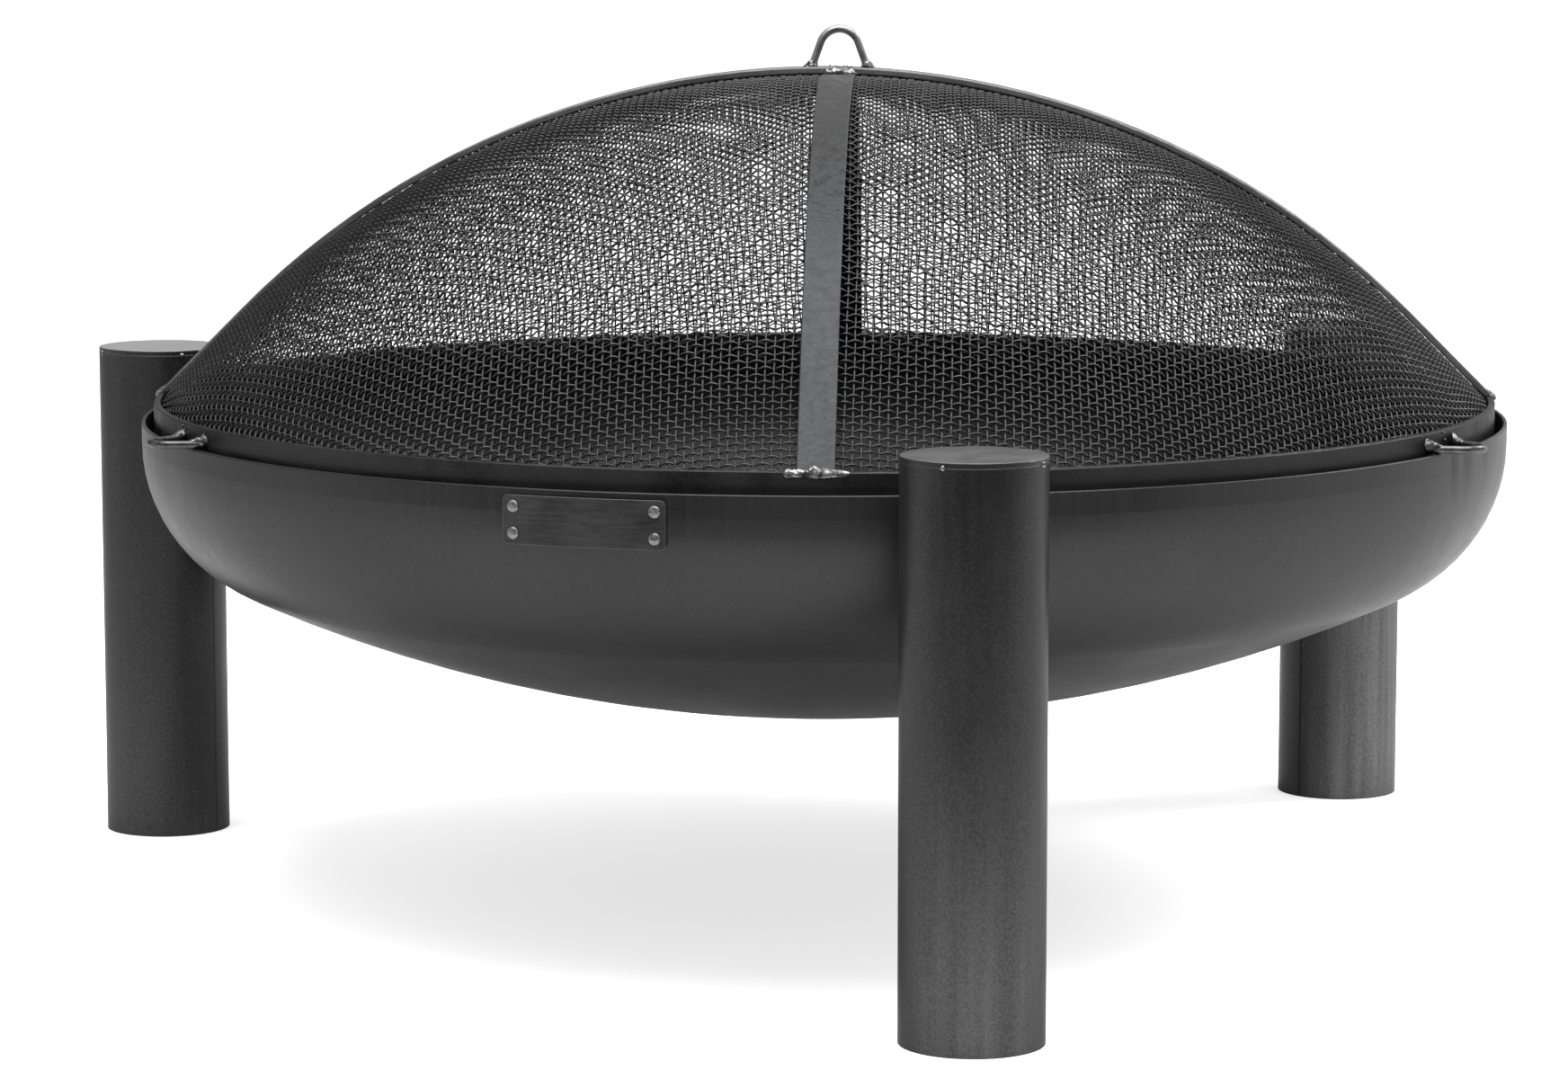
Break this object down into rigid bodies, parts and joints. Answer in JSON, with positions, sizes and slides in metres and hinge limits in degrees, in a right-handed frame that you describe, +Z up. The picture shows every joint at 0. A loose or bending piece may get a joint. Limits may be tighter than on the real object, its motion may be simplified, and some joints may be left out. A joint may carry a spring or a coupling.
{
  "type": "fire pit with spark screen",
  "caption": "Round steel fire bowl on tube legs with a lift-off domed spark screen of woven wire, hung on the bowl's rim by rod lugs.",
  "frame": {"origin": "on the floor under the middle of the bowl, on the axis that bowl and screen share", "axes": "+Z up along the bowl's axis; -Y towards the front, where the badge plate and the front strip are; X along the screen's cross arch"},
  "size_m": [0.8527, 0.8876, 0.5057],
  "materials": {
    "bowl_steel": "satin, heat-blackened",
    "leg_steel": "satin, heat-blackened",
    "cap_steel": "satin",
    "weld_metal": "bright, rippled",
    "badge_steel": "satin",
    "rivet_steel": "satin",
    "screen_wire": "semi-bright wire",
    "bent_rod": "semi-bright",
    "strip_bar": "blue-grey mill scale",
    "screen_bar": "satin, blackened"
  },
  "bodies": {
    "fire_bowl": {"bowl": "bowl_steel", "leg_tube_front": "leg_steel", "leg_tube_right": "leg_steel", "leg_tube_left": "leg_steel", "leg_cap_front": "cap_steel", "leg_cap_right": "cap_steel", "leg_cap_left": "cap_steel", "leg_seam_front": "weld_metal", "leg_seam_right": "weld_metal", "leg_seam_left": "weld_metal", "cap_tacks": "weld_metal", "badge_plate": "badge_steel", "badge_rivets": "rivet_steel"},
    "spark_screen": {"screen_ring": "screen_bar", "ring_joint_weld": "weld_metal", "cross_arch": "screen_bar", "front_strip": "strip_bar", "back_strip": "strip_bar", "arch_foot_welds": "weld_metal", "strip_foot_welds": "weld_metal", "crossing_welds": "weld_metal", "lifting_eye": "bent_rod", "lifting_eye_welds": "weld_metal", "rest_lug_left": "bent_rod", "rest_lug_right": "bent_rod", "rest_lug_back": "bent_rod", "rest_lug_welds": "weld_metal", "mesh_front": "screen_wire", "mesh_back": "screen_wire", "mesh_tacks": "weld_metal"}
  },
  "joints": [
    {"name": "screen_lift", "type": "slide", "parent": "fire_bowl", "child": "spark_screen", "axis": [0, 0, 1], "range_m": [0, 0.3]}
  ]
}
